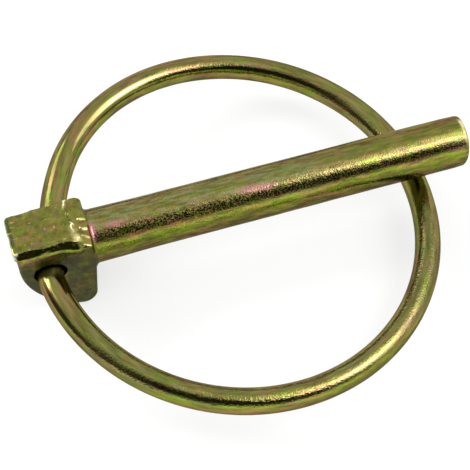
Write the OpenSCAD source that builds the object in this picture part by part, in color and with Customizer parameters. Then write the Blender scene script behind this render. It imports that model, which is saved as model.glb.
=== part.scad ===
// Lynch pin with a spring ring
//
// A forged pin carries a ring of spring wire. The round shank goes through a drilled shaft or
// drawbar until the shoulder stops it. The ring then swings over the tip and lies across the
// shank behind it, so that the pin cannot draw back out.
//
// Frame: the shank's axis is X, with x = 0 at the shoulder and the tip towards +X. The ring is
// closed, and its far side lies under the shank (-Z). The ring's ends hook into the two mouths
// of one cross hole, which is drilled askew in plan. The ring hinges about that hole.
// All lengths are in millimetres and all angles in degrees.

/* [Shank] */
// Diameter of the shank
shank_d = 6; // [5:0.5:9]
// Length of the shank, from the shoulder to the tip
shank_l = 45; // [38:0.5:70]
// Radius of the rounded edge at the tip
tip_r = 0.5; // [0.2:0.1:1.5]
// Radius of the fillet between the shank and the shoulder
root_r = 0.3; // [0.1:0.1:0.8]

/* [Head] */
// Thickness of the head across its two flat sides
head_t = 6; // [5:0.1:9]
// Rise of the head's flat top above the top of the shank
top_rise = 0.9; // [0.6:0.1:2]
// Drop of the foot below the underside of the shank
foot_drop = 6.1; // [4:0.1:9]
// Length of the foot's end, along the shank
foot_l = 3.8; // [3.6:0.1:4.5]
// Angle by which the foot leans back from the shoulder
foot_lean = 4.5; // [0:0.5:10]
// Height of the point where the shoulder starts to lean, from the shank's axis
lean_start = -1.5; // [-3:0.1:0]
// Metal between the shoulder and the cross hole
front_wall = 2.6; // [2:0.1:5]
// Metal between the cross hole and the back of the head
back_wall = 2.1; // [1.8:0.1:4]
// Radius of the curve that runs from the back of the head towards the foot
back_r = 11.5; // [9:0.1:14]
// Height of the point where that curve leaves the flat back, from the shank's axis
back_start = 0.5; // [0:0.1:2]
// Angle through which that curve turns
back_turn = 36; // [25:1:45]
// Radius of the head's forged edges
edge_r = 0.6; // [0.3:0.1:1]
// Radius of the head's top corners, seen from the side
top_corner_r = 0.7; // [0.7:0.1:1.5]
// Radius of the foot's corners, seen from the side
foot_corner_r = 1.8; // [0.7:0.1:1.8]

/* [Flange] */
// Overhang of the flange past each side of the head
flange_rim = 0.4; // [0.2:0.1:1]
// Thickness of the flange behind the shoulder
flange_t = 1.3; // [0.8:0.1:2]
// Radius of the hollow between the flange and the head's side
flange_fillet = 1.5; // [0.8:0.1:2.5]
// Step down from the head's top to the trimmed edge of the flange
trim_step = 0.2; // [0:0.1:0.4]

/* [Ring] */
// Diameter of the ring's wire
wire_d = 3; // [2:0.1:4]
// Distance from the middle of the ring's far side back to the tip
tip_past = 5.3; // [4:0.1:8]
// Gap between the shank and the closed ring
ring_gap = 0.6; // [0.55:0.05:2]
// Offset of the ring's centre to the near side (-Y) of the shank
ring_offset = 1.35; // [0:0.05:2.5]

/* [Cross hole and hooked ends] */
// Radial clearance of the wire in the cross hole
hole_clear = 0.4; // [0.3:0.05:0.8]
// Height of the cross hole from the shank's axis
hole_z = -0.55; // [-1.5:0.05:0.5]
// Angle in plan between the cross hole and a square-drilled one
hole_skew = 14; // [8:0.5:18]
// Drop of the ring's ends below the middle of the cross hole
wire_drop = 0.2; // [0:0.05:0.25]
// Bend radius of the near hook, on the middle of the wire
hook_r = 3; // [2.5:0.1:4]
// Distance along the hole from the head's near side to the corner of the near hook
hook_out = 0.45; // [0.3:0.05:1]
// Straight length of the far end outside the head
lead_out = 0.6; // [0.3:0.05:1.5]
// Direction in which the ring's far quarter starts, seen from its centre
quarter_start = 90; // [80:1:110]
// Slope of the wire where the far quarter's two arcs meet, from square to the shank
quarter_join = 28; // [24:1:34]
// Gap between the wire's two ends inside the cross hole
end_gap = 0.3; // [0.1:0.1:1]

/* [Hidden] */

shank_r = shank_d / 2;
wire_r = wire_d / 2;
hole_r = wire_r + hole_clear;
flange_w = max(shank_d, head_t) + 2 * flange_rim;

// Places along and above the shank's axis
hole_x = -(front_wall + hole_r);
back_x = hole_x - hole_r - back_wall;
top_z = shank_r + top_rise;
foot_z = -(shank_r + foot_drop);
hinge_z = hole_z - wire_drop;

// The pieces of wire that make the ring are joined by thin ones, which run into their neighbours
seam_run = 0.2;
seam_step = 0.01;

// The ring is laid out flat around the hinge point, in a plane whose Y axis is square to the
// shank. A slope is the angle between a piece of wire and that Y axis.
function toward(slope) = [sin(slope), cos(slope)];
function along_arc(from, to) = [cos(from) - cos(to), sin(to) - sin(from)];
function cross2(a, b) = a.x * b.y - a.y * b.x;

hole_dir = toward(hole_skew);
hole_side = [hole_dir.y, -hole_dir.x];
half_hole = head_t / 2 / cos(hole_skew);

// The main circle passes through the near hook's corner and over the shank at ring_far
near_corner = -hole_dir * (half_hole + hook_out);
ring_far = shank_l - tip_past - hole_x;
ring_cx = (pow(ring_far, 2) + pow(ring_offset, 2) - pow(near_corner.x, 2)
           - pow(near_corner.y + ring_offset, 2)) / (2 * (ring_far - near_corner.x));
ring_c = [ring_cx, -ring_offset];
ring_r = norm(near_corner - ring_c);

// The near hook is an arc inside the main circle that also touches the hole's axis
c_along = ring_c * hole_dir;
c_aside = ring_c * hole_side;
hook_at = c_along - sqrt(pow(ring_r - hook_r, 2) - pow(c_aside - hook_r, 2));
hook_c = hole_dir * hook_at + hole_side * hook_r;
hook_end = atan2(hook_c.y - ring_c.y, hook_c.x - ring_c.x);

// The far quarter is two arcs: the first leaves the main circle, the second meets the hole's axis
quarter_from = ring_c + ring_r * [cos(quarter_start), sin(quarter_start)];
lead_at = half_hole + lead_out;
quarter_slope = 180 - quarter_start;
quarter_span = quarter_from - hole_dir * lead_at;
lead_arc = along_arc(hole_skew, quarter_join);
turn_arc = along_arc(quarter_join, quarter_slope);
lead_r = cross2(quarter_span, turn_arc) / cross2(lead_arc, turn_arc);
turn_r = cross2(lead_arc, quarter_span) / cross2(lead_arc, turn_arc);
lead_c = hole_dir * lead_at + hole_side * lead_r;
turn_c = ring_c + (ring_r - turn_r) * [cos(quarter_start), sin(quarter_start)];

// The closed ring leans down about the hinge until its far side clears the shank by ring_gap
ring_tilt = asin((shank_r + ring_gap + wire_r + hinge_z) / (ring_far * cos(hole_skew)));

// ---------------------------------------------------------------- pin

// Half of the shank's section, turned about X
module shank() {
    rotate([0, 90, 0])
        rotate_extrude($fn = 96)
            difference() {
                union() {
                    translate([0, -flange_t]) {
                        square([shank_r, flange_t + shank_l - tip_r]);
                        square([shank_r + root_r, flange_t + root_r]);
                    }
                    translate([0, shank_l - tip_r])
                        square([shank_r - tip_r, tip_r]);
                    translate([shank_r - tip_r, shank_l - tip_r])
                        intersection() {
                            circle(r = tip_r);
                            square(tip_r);
                        }
                }
                translate([shank_r + root_r, root_r])
                    circle(r = root_r);
            }
}

// A disc of radius r that stands on edge, with its rim rounded: one corner of a forged plate
module corner_disc(x, z, r, t) {
    translate([x, 0, z])
        rotate([90, 0, 0])
            rotate_extrude($fn = 32)
                rim_section(r, r, t);
}

// Section of a plate of thickness t, from its rounded rim at radius r back by depth
module rim_section(r, depth, t) {
    translate([r - depth, edge_r - t / 2])
        square([depth, t - 2 * edge_r]);
    translate([r - depth, -t / 2])
        square([depth - edge_r, t]);
    for (side = [-1, 1])
        translate([r - edge_r, side * (t / 2 - edge_r)])
            intersection() {
                circle(r = edge_r, $fn = 32);
                translate([0, -edge_r])
                    square([edge_r, 2 * edge_r]);
            }
}

// The head's side outline as a rounded plate of thickness t. Its front runs on past the
// shoulder, where it is cut off square.
module forged_plate(t) {
    lean_top = (top_z - lean_start) * tan(foot_lean);
    lean_end = (foot_z - lean_start) * tan(foot_lean);
    hull() {
        for (x = [back_x + top_corner_r, lean_top - top_corner_r])
            corner_disc(x, top_z - top_corner_r, top_corner_r, t);
        for (x = [lean_end - foot_l + foot_corner_r, lean_end - foot_corner_r])
            corner_disc(x, foot_z + foot_corner_r, foot_corner_r, t);
        translate([back_x + back_r, 0, back_start])
            rotate([90, 0, 0])
                rotate([0, 0, 180])
                    rotate_extrude(angle = back_turn, $fn = 96)
                        rim_section(back_r, top_corner_r, t);
    }
}

// Plan of the flange with the hollows that blend it into the head's sides
module flange_plan() {
    reach = flange_t + flange_fillet;
    side = (flange_w - head_t) / 2;
    run = sqrt(pow(flange_fillet, 2) - pow(flange_fillet - side, 2));
    difference() {
        translate([-reach, -flange_w / 2])
            square([reach, flange_w]);
        for (s = [-1, 1])
            translate([-flange_t - run, s * (head_t / 2 + flange_fillet)])
                circle(r = flange_fillet, $fn = 64);
        for (s = [-1, 1])
            translate([-reach - 1, s > 0 ? head_t / 2 : -flange_w / 2 - 1])
                square([reach + 1 - flange_t - run, flange_w / 2 - head_t / 2 + 1]);
    }
}

module head() {
    height = top_z - foot_z + 2;
    intersection() {
        forged_plate(head_t);
        translate([back_x - 1, -head_t, foot_z - 1])
            cube([-back_x + 1, 2 * head_t, height]);
    }
    intersection() {
        forged_plate(flange_w);
        translate([0, 0, foot_z - 1])
            linear_extrude(height)
                flange_plan();
    }
}

module cross_hole() {
    translate([hole_x, 0, hole_z])
        rotate([-90, 0, -hole_skew])
            cylinder(r = hole_r, h = 2 * flange_w, center = true, $fn = 64);
}

// The flash around the flange is sheared off a little below the head's top
module trim_cut() {
    translate([-flange_t, -flange_w, top_z - trim_step])
        cube([flange_t + 1, 2 * flange_w, trim_step + 1]);
}

module pin() {
    color([0.55, 0.52, 0.22])
        difference() {
            union() {
                shank();
                difference() {
                    head();
                    trim_cut();
                }
            }
            cross_hole();
        }
}

// ---------------------------------------------------------------- ring

// Wire bent round centre c at radius r, between two directions seen from c. A thin piece is the
// seam of two full ones: it is a hair thinner, and runs a little way into both.
module wire_arc(c, r, from, to, thin = false) {
    run = thin ? asin(seam_run / r) : 0;
    translate([c.x, c.y, 0])
        rotate([0, 0, from - run])
            rotate_extrude(angle = to - from + 2 * run, $fn = 180)
                translate([r, 0])
                    circle(r = thin ? wire_r - seam_step : wire_r, $fn = 48);
}

// Straight wire on the hole's axis, between two distances from the hinge point
module wire_end(from, to, thin = false) {
    rotate([-90, 0, -hole_skew])
        translate([0, 0, from])
            cylinder(r = thin ? wire_r - seam_step : wire_r, h = to - from, $fn = 48);
}

module ring() {
    color([0.60, 0.56, 0.24])
        translate([hole_x, 0, hinge_z])
            rotate(a = ring_tilt, v = [hole_dir.x, hole_dir.y, 0]) {
                wire_end(hook_at, -end_gap / 2);
                wire_arc(hook_c, hook_r, -180 - hole_skew, hook_end, thin = true);
                wire_arc(ring_c, ring_r, hook_end, quarter_start);
                wire_arc(turn_c, turn_r, quarter_start, 180 - quarter_join, thin = true);
                wire_arc(lead_c, lead_r, 180 - quarter_join, 180 - hole_skew);
                wire_end(end_gap / 2, lead_at + seam_run, thin = true);
            }
}

pin();
ring();
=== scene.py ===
"""Dresses the lynch pin: the forged pin and its spring-wire ring, plated in yellow-passivated zinc.

The forged pin and the ring are built as detailed meshes in millimetres, in the frame of the
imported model, and then scaled to metres. Each one stands for the solid of the same name.
"""

import logging
import math
from dataclasses import dataclass
from enum import Enum

import bmesh
import bpy
import numpy as np
import openvdb
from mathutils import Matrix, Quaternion, Vector


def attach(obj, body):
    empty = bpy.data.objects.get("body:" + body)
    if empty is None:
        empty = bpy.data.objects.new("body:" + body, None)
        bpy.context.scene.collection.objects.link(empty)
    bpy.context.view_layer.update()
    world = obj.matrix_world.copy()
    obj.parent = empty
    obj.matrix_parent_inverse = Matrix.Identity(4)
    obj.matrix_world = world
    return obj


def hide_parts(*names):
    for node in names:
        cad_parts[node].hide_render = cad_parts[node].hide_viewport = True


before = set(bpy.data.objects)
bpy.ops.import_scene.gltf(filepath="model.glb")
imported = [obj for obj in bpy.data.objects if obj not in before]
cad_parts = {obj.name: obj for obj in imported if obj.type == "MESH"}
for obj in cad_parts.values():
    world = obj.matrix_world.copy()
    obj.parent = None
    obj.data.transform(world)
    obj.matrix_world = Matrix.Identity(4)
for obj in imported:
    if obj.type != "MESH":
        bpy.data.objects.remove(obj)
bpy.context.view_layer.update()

LOG = logging.getLogger("lynch_pin")
MM = 0.001
WHITE = (1.0, 1.0, 1.0, 1.0)

Points = np.ndarray
Values = np.ndarray
Faces = list[tuple[int, ...]]
Pair = tuple[float, float]
Triple = tuple[float, float, float]
Colour = Triple
Layers = tuple[tuple[float, float | Triple], ...]
Socket = bpy.types.NodeSocket


class Slot(Enum):
    """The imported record's material slots."""

    PIN = "pin"
    RING = "ring"


# ------------------------------------------------------------------------------ shared helpers


def smooth(low: float, high: float, values: Values) -> Values:
    """Ramps from 0 at low to 1 at high with level ends.

    Args:
        low: Value at which the ramp leaves 0.
        high: Value at which the ramp reaches 1.
        values: Values to read the ramp at.

    Returns:
        The ramp, between 0 and 1.
    """
    share = np.clip((values - low) / (high - low), 0.0, 1.0)
    return share * share * (3.0 - 2.0 * share)


def bump(centre: float, reach: float, values: Values) -> Values:
    """Rises smoothly to 1 at centre and falls to 0 at a distance of reach."""
    return 1.0 - smooth(0.0, reach, np.abs(values - centre))


def spot(points: Points, centre: Triple, size: Pair) -> Values:
    """Rises smoothly to 1 at a centre, over one reach along X and another across it.

    Args:
        points: Points in millimetres, one row each.
        centre: The place where it reaches 1.
        size: Its reach along X and its reach across it.

    Returns:
        Values from 0 to 1.
    """
    away = points - np.array(centre)
    reach = np.hypot(away[:, 0] / size[0], np.hypot(away[:, 1], away[:, 2]) / size[1])
    return 1.0 - smooth(0.0, 1.0, reach)


def zone(points: Points, **ramps: Pair) -> Values:
    """Multiplies ramps along the axes, so that they mark out a zone with soft borders.

    Args:
        points: Points in millimetres, one row each.
        ramps: Where the ramp along x, y or z leaves 0 and where it reaches 1.

    Returns:
        Values from 0 outside the zone to 1 inside it.
    """
    total = np.ones(len(points))
    for axis, ends in ramps.items():
        total *= smooth(*ends, points[:, "xyz".index(axis)])
    return total


def round_cut(a: Values, b: Values, radius: float) -> Values:
    """Intersects two distance fields and rounds the edge where they meet.

    Args:
        a: Signed distances to the first surface, negative inside.
        b: Signed distances to the second surface.
        radius: Radius of the edge.

    Returns:
        Signed distances to the rounded intersection.
    """
    outside = np.hypot(np.maximum(a + radius, 0.0), np.maximum(b + radius, 0.0))
    return np.minimum(np.maximum(a, b), -radius) + outside


def round_join(a: Values, b: Values, radius: float) -> Values:
    """Unites two distance fields and fills the corner between them with a hollow.

    Args:
        a: Signed distances to the first surface, negative inside.
        b: Signed distances to the second surface.
        radius: Radius of the hollow.

    Returns:
        Signed distances to the blended union.
    """
    inside = np.hypot(np.maximum(radius - a, 0.0), np.maximum(radius - b, 0.0))
    return np.maximum(np.minimum(a, b), radius) - inside


def linear(colour: Colour) -> tuple[float, float, float, float]:
    """Turns a display colour from 0 to 255 into the linear colour that a shader takes."""
    shares = [value / 255.0 for value in colour]
    return (*(s / 12.92 if s <= 0.04045 else ((s + 0.055) / 1.055) ** 2.4 for s in shares), 1.0)


def direction(azimuth: float, elevation: float) -> Vector:
    """Direction towards an azimuth from -Y, turning to +X, and an elevation, in degrees."""
    a, e = math.radians(azimuth), math.radians(elevation)
    return Vector((math.sin(a) * math.cos(e), -math.cos(a) * math.cos(e), math.sin(e)))


def rolled(angle: float) -> Quaternion:
    """Turn about the line of sight by an angle in degrees."""
    return Quaternion((0.0, 0.0, 1.0), math.radians(angle))


class Noise:
    """Smooth seeded noise that can be read at any point in space."""

    CELLS = 48

    def __init__(self, seed: int) -> None:
        """Fills the lattice.

        Args:
            seed: Seed of the lattice's random values.
        """
        self.lattice = np.random.default_rng(seed).uniform(-1.0, 1.0, (self.CELLS,) * 3)

    def at(self, points: Points, size: float | Triple) -> Values:
        """Reads the noise.

        Args:
            points: Points in millimetres, one row each.
            size: Size of one cell, or its size along each axis.

        Returns:
            Values between -1 and 1, one for each point.
        """
        place = (points / np.asarray(size, float)).T
        cell = np.floor(place)
        share = place - cell
        share = share * share * (3.0 - 2.0 * share)
        near = cell.astype(np.int64) % self.CELLS
        sides = (near, (near + 1) % self.CELLS)
        total = np.zeros(len(points))
        for i, j, k in np.ndindex(2, 2, 2):
            weight = (share[0] if i else 1.0 - share[0]) * (share[1] if j else 1.0 - share[1])
            weight *= share[2] if k else 1.0 - share[2]
            row = (sides[i][0] * self.CELLS + sides[j][1]) * self.CELLS + sides[k][2]
            total += weight * self.lattice.take(row)
        return total

    def layers(self, points: Points, layers: Layers) -> Values:
        """Adds up layers of noise, each given by its height and the size of its cells."""
        return sum(height * self.at(points, size) for height, size in layers)


def add_mesh(name: str, corners: Points, faces: Faces) -> bpy.types.Object:
    """Makes a smooth-shaded mesh object from millimetres.

    Args:
        name: The piece's name.
        corners: Vertices in millimetres.
        faces: Corner numbers of each face.

    Returns:
        The linked object, in metres.
    """
    mesh = bpy.data.meshes.new(name)
    mesh.from_pydata((corners * MM).tolist(), [], faces)
    mesh.update()
    mesh.shade_smooth()
    piece = bpy.data.objects.new(name, mesh)
    bpy.context.scene.collection.objects.link(piece)
    return piece


def add_fields(piece: bpy.types.Object, fields: dict[str, Values]) -> None:
    """Stores values or vectors at each vertex under the names that a material reads.

    Args:
        piece: The mesh object.
        fields: One number or one row of three numbers for each vertex, by name.
    """
    for name, values in fields.items():
        kind, key = ("FLOAT", "value") if values.ndim == 1 else ("FLOAT_VECTOR", "vector")
        field = piece.data.attributes.new(name, kind, "POINT")
        field.data.foreach_set(key, np.ascontiguousarray(values, np.float32).ravel())


def corner_normals(piece: bpy.types.Object) -> Points:
    """Normals at a piece's vertices, one row each.

    Args:
        piece: The mesh object.

    Returns:
        Outward unit normals, one row each.
    """
    values = np.zeros(3 * len(piece.data.vertices), np.float32)
    piece.data.vertex_normals.foreach_get("vector", values)
    return values.reshape(-1, 3).astype(float)


# The film's colours follow each other along both of these directions, half as fast along the
# second.
LOWER_SIDE = np.array([-0.249, -0.826, -0.505])
RIGHT_SIDE = np.array([0.957, -0.289, 0.0])
RIGHT_SHARE = 0.5


def film_order(normals: Points) -> Values:
    """Place in the film's sequence of colours, from 0 on upper sides to 1 on lower ones.

    The sequence holds the film's own tints and also painted light: painted shade that darkens it
    towards the lower sides, and painted highlight that lightens it where the lamps are mirrored.

    Args:
        normals: Outward normals, one row each.

    Returns:
        One value for each normal.
    """
    order = normals @ LOWER_SIDE + RIGHT_SHARE * (normals @ RIGHT_SIDE)
    return np.clip(0.5 + 0.5 * order, 0.0, 1.0)


def open_loop(quads: np.ndarray) -> np.ndarray:
    """Finds the vertices on the edges that only one face has.

    Args:
        quads: Corner numbers of each face.

    Returns:
        The vertices' numbers, in rising order.
    """
    edges = np.sort(np.stack([quads, np.roll(quads, -1, axis=1)], 2).reshape(-1, 2), axis=1)
    rows, counts = np.unique(edges, axis=0, return_counts=True)
    return np.unique(rows[counts == 1])


def tube_faces(number: np.ndarray) -> Faces:
    """Quads between the rows of a grid whose columns close round.

    Args:
        number: The vertex numbers, as a grid.

    Returns:
        The quads.
    """
    a, b = number[:-1], number[1:]
    rows = np.stack([a, np.roll(a, -1, 1), np.roll(b, -1, 1), b], 2).reshape(-1, 4)
    return [tuple(row) for row in rows.tolist()]


def fan_faces(row: np.ndarray, middle: int) -> Faces:
    """Triangles between a closed row of vertices and the one in its middle."""
    return [(a, b, middle) for a, b in zip(row.tolist(), np.roll(row, -1).tolist())]


def zip_loops(corners: Points, one: np.ndarray, other: np.ndarray) -> Faces:
    """Joins two loops round the X axis with a band of triangles.

    Args:
        corners: All vertices.
        one: Vertex numbers of the first loop.
        other: Vertex numbers of the second loop.

    Returns:
        The triangles.
    """
    loops, angles = [], []
    for loop in (one, other):
        around = np.arctan2(corners[loop, 2], corners[loop, 1])
        order = np.argsort(around)
        ordered = loop[order].tolist()
        loops.append(ordered + ordered[:1])
        angles.append(np.append(around[order], around[order[0]] + 2.0 * math.pi))
    i = j = 0
    faces = []
    while i < len(one) or j < len(other):
        step_one = j == len(other) or (i < len(one) and angles[0][i + 1] < angles[1][j + 1])
        if step_one:
            faces.append((loops[0][i], loops[1][j], loops[0][i + 1]))
            i += 1
        else:
            faces.append((loops[0][i], loops[1][j], loops[1][j + 1]))
            j += 1
    return faces


def close_up(piece: bpy.types.Object) -> None:
    """Turns every face outwards and reports edges that don't have two faces.

    Args:
        piece: The mesh object.
    """
    form = bmesh.new()
    form.from_mesh(piece.data)
    bmesh.ops.recalc_face_normals(form, faces=form.faces)
    loose = sum(len(edge.link_faces) != 2 for edge in form.edges)
    form.to_mesh(piece.data)
    form.free()
    LOG.info("%s: %d faces, %d open edges", piece.name, len(piece.data.polygons), loose)


# --------------------------------------------------------------------------------- forged pin


@dataclass
class ForgedPin:
    """The forged pin: a round shank, a flange that stops it, and a flat-topped head with a foot.

    All sizes are in millimetres and all angles in degrees. The shank's axis is X, the shoulder
    is at x = 0 and the head's flat top faces +Z. The side at -Y is the near side.
    """

    # The shank, its flared root and its worn tip. The plating lies over the solid's radius, the
    # shank is sunk into the head, and the tip's face leans along Y and Z.
    shank_r: float = 3.0
    shank_l: float = 45.0
    plating: float = 0.02
    sunk: float = 0.7
    root_r: float = 0.5
    flare: float = 0.08
    flare_l: float = 7.0
    taper: float = 0.05
    taper_l: float = 2.0
    tip_edge: float = 0.45
    tip_over: float = 0.085
    tip_lean: Pair = (0.042, 0.079)
    tip_rough: Layers = ((0.02, 1.3),)
    dents: Layers = ((0.012, (2.6, 1.2, 1.2)), (0.006, 0.55))
    nick: Triple = (6.4, -2.87, 1.0)
    nick_size: Pair = (0.55, 0.3)
    nick_depth: float = 0.05
    # Reach of the darker spot round the nick, along X and across it.
    nick_dark_size: Pair = (1.0, 0.6)

    # The head with its foot, seen from the side. The back is straight above its start and then
    # curves forward to the heel, and the lip is how far the trimmed top stands back of it.
    top_z: float = 3.9
    foot_z: float = -9.1
    foot_l: float = 3.8
    foot_lean: float = 4.5
    lean_start: float = -1.5
    back_x: float = -8.5
    back_r: float = 11.5
    back_start: float = 0.5
    back_turn: float = 36.0
    heel_edge: float = 0.05
    foot_corner: float = 1.8
    toe_corner: float = 2.1
    toe_start: float = -4.0
    face_edge: float = 0.12
    lip: float = 0.25

    # The head's and the flange's width and edges. The far side is spread and rounded more.
    head_half: float = 3.0
    flange_half: float = 3.4
    far_spread: float = 0.14
    uneven: Layers = ((0.02, 2.4),)
    edge_r: float = 0.5
    far_edge: float = 0.3
    trim_edge: float = 0.03
    top_corner: float = 0.05
    flange_edge: float = 0.14

    # The chipped bevels along the flat top, which wander by a wave along X.
    bevel_y: float = 2.2
    far_bevel_y: float = 2.85
    bevel_angle: float = 40.0
    bevel_edge: float = 0.32
    bevel_end: float = 1.2
    bevel_wave: float = 0.09
    wave_x: float = -5.2
    wave_l: float = 3.5
    wave_dip: float = 0.05
    chips: Layers = ((0.06, (0.7, 1.5, 1.5)), (0.05, 0.3))

    # The ragged step from the flat top down to the flange, and the tool marks that cross the
    # flange. The steepness scales heights, so that distances don't grow too fast at the step.
    step_x: float = -1.95
    step_skew: float = 0.55
    step_l: float = 0.34
    flange_step: float = 0.24
    step_worn: float = 0.13
    step_steep: float = 0.85
    nose_drop: float = 0.3
    side_drop: float = 0.12
    ragged: Layers = ((0.3, (9.0, 0.7, 9.0)), (0.2, (9.0, 0.3, 9.0)))
    top_rough: Layers = ((0.014, 1.6), (0.007, 0.5))
    flange_rough: Layers = ((0.05, 0.7),)
    step_rough: Layers = ((0.03, 0.3),)
    mark_depth: float = 0.11
    mark_pitch: float = 1.15
    mark_skew: float = 0.3
    mark_turn: float = 0.42
    mark_wander: Layers = ((0.12, 0.9),)
    mark_rough: Layers = ((0.6, (3.0, 0.9, 3.0)),)

    # The cross hole.
    hole_r: float = 1.84
    hole_x: float = -4.5
    hole_z: float = -0.68
    hole_skew: float = 14.0
    hole_edge: float = 0.12

    # The mesh: cells in blocks up to the join, and then rings of columns to the tip.
    cell: float = 0.095
    block: int = 5
    join_x: float = 1.1
    columns: int = 124
    ring_step: float = 0.17
    edge_rows: int = 8
    edge_gap: float = 0.3
    face_step: float = 0.15

    # The finish: rosy blotches, patchy wear, a painted highlight on the tip's rim, and bare flecks.
    rosy: tuple[Triple, ...] = ((18.6, -0.95, 2.9), (20.6, -1.15, 2.85), (2.9, -0.9, 2.9))
    rosy_size: Pair = (2.0, 0.7)
    shoulder_rosy: Triple = (0.4, -1.2, 2.9)
    shoulder_size: Pair = (0.7, 1.7)
    patchy: Layers = ((0.8, 0.75), (0.4, 0.3))
    fleck_size: Triple = (0.36, 0.22, 0.36)
    seed: int = 11

    def __post_init__(self) -> None:
        """Makes the noise that the forged surface reads."""
        self.noise = Noise(self.seed)

    def shank(self, p: Points) -> Values:
        """Signed distance to the shank, with its root flare and its worn, off-square tip.

        Args:
            p: Points in millimetres, one row each.

        Returns:
            Signed distances, negative inside.
        """
        x, y, z = p.T
        flare = self.flare * (1.0 - smooth(0.0, self.flare_l, x))
        flare = flare - self.taper * smooth(self.shank_l - self.taper_l, self.shank_l, x)
        nicked = spot(p, self.nick, self.nick_size) * (1.0 + self.noise.at(p, 0.3))
        dents = self.noise.layers(p, self.dents) - self.nick_depth * nicked
        side = np.hypot(y, z) - self.shank_r - self.plating - flare - dents
        lean = self.tip_lean[0] * y + self.tip_lean[1] * z
        cut = x - self.shank_l - self.tip_over - lean + self.noise.layers(p, self.tip_rough)
        return np.maximum(round_cut(side, cut, self.tip_edge), -self.sunk - x)

    def outline(self, x: Values, z: Values) -> Values:
        """Signed distance, seen from the side, to the head's outline without its top.

        Args:
            x: Places along the shank.
            z: Heights.

        Returns:
            Signed distances, negative inside.
        """
        turn = math.radians(180.0 + self.back_turn)
        middle = np.array([self.back_x + self.back_r, self.back_start])
        leave = middle + self.back_r * np.array([math.cos(turn), math.sin(turn)])
        lean = math.radians(self.foot_lean)
        heel_r = self.foot_corner
        heel_x = (self.foot_z - self.lean_start) * math.tan(lean) - self.foot_l + heel_r
        span = np.array([heel_x, self.foot_z + heel_r]) - leave
        reach = float(np.linalg.norm(span))
        share = heel_r / reach
        ahead = span / reach
        out = -share * ahead + math.sqrt(1.0 - share**2) * np.array([ahead[1], -ahead[0]])
        curve = np.hypot(x - middle[0], z - middle[1]) - self.back_r
        back = np.where(z > self.back_start, self.back_x - x, curve)
        heel = (x - leave[0]) * out[0] + (z - leave[1]) * out[1]
        front = np.maximum(x, x * math.cos(lean) - (z - self.lean_start) * math.sin(lean))
        shape = round_cut(back, heel, self.heel_edge)
        shape = round_cut(shape, self.foot_z - z, heel_r * (1.0 + out[1]))
        toe = self.face_edge + (self.toe_corner - self.face_edge) * smooth(0.0, self.toe_start, z)
        return round_cut(shape, front, toe)

    def head(self, p: Points) -> Values:
        """Signed distance to the head and the flange in front of it, with their trimmed top.

        Args:
            p: Points in millimetres, one row each.

        Returns:
            Signed distances, negative inside.
        """
        x, y, z = p.T
        far_top = zone(p, y=(-0.5, 0.5), z=(1.5, 3.2))
        lip = self.lip * zone(p, x=(-7.0, -8.4), z=(3.0, 3.5)) * (1.0 + 0.2 * self.noise.at(p, 0.8))
        flange = (self.flange_half - self.head_half) * smooth(-3.8, -1.1, x)
        widened = flange * (1.0 - 0.5 * far_top)
        widened = widened + self.far_spread * smooth(-8.0, -3.0, x) * far_top
        widened = widened + self.noise.layers(p, self.uneven)
        edge = self.edge_r + self.far_edge * far_top * smooth(-6.0, -8.0, x)
        plate = round_cut(self.outline(x + lip, z), np.abs(y) - self.head_half - widened, edge)
        plate = round_cut(plate, self.bevel(p, widened), self.bevel_edge)
        corner = self.trim_edge + self.top_corner * zone(p, x=(-7.6, -8.2), y=(-0.8, -1.8))
        corner = corner + self.flange_edge * smooth(-1.0, 0.0, x)
        return round_cut(plate, (z - self.top(p)) * self.step_steep, corner)

    def bevel(self, p: Points, widened: Values) -> Values:
        """Signed distance to the chipped bevels along the flat top, which run out at the flange.

        Args:
            p: Points in millimetres, one row each.
            widened: How far the head is wider there than its least width.

        Returns:
            Signed distances, negative inside.
        """
        x, y, z = p.T
        wave = self.bevel_wave * np.cos(math.tau * (x - self.wave_x) / self.wave_l)
        wave = wave - self.wave_dip * smooth(-6.3, -8.3, x)
        rough = (wave + self.noise.layers(p, self.chips)) * smooth(3.35, 3.85, z)
        start = np.where(y < 0.0, self.bevel_y, self.far_bevel_y + widened)
        start = start + rough + self.bevel_end * smooth(-1.7, -0.5, x)
        slope = math.radians(self.bevel_angle)
        return (z - self.top_z) * math.cos(slope) + (np.abs(y) - start) * math.sin(slope)

    def top(self, p: Points) -> Values:
        """Height of the top: the flat, the ragged step down, and the scalloped flange.

        Args:
            p: Points in millimetres, one row each.

        Returns:
            Heights in millimetres.
        """
        x, y, _ = p.T
        past = x - self.step_x - self.step_skew * smooth(0.3, -1.5, y)
        past = past + self.noise.layers(p, self.ragged)
        low = self.flange_step - self.mark_depth * self.marks(p)
        low = low - self.noise.layers(p, self.flange_rough)
        low = low - self.noise.layers(p, self.step_rough) * smooth(0.6, 0.3, past)
        low = low + self.nose_drop * smooth(-0.9, 0.3, x) + self.side_drop * smooth(-2.6, -3.4, y)
        worn = self.step_worn * smooth(-0.8, 0.1, past) * smooth(0.0, -1.2, y)
        flat = self.top_z + self.noise.layers(p, self.top_rough)
        return flat - worn - (low - worn) * smooth(0.0, self.step_l, past)

    def marks(self, p: Points) -> Values:
        """Height of the tool marks that cross the flange's top, from 0 to 1.

        Args:
            p: Points in millimetres, one row each.

        Returns:
            Values from 0 between the marks to about 1 on them.
        """
        x, y, _ = p.T
        across = y + self.mark_skew * x + self.noise.layers(p, self.mark_wander)
        wave = 0.5 + 0.5 * np.sin(math.tau * across / self.mark_pitch + self.mark_turn)
        wave = wave**3 * (0.75 + self.noise.layers(p, self.mark_rough))
        return wave * zone(p, x=(-1.05, -0.8), y=(1.0, 0.4)) * smooth(0.35, 0.1, x)

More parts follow.
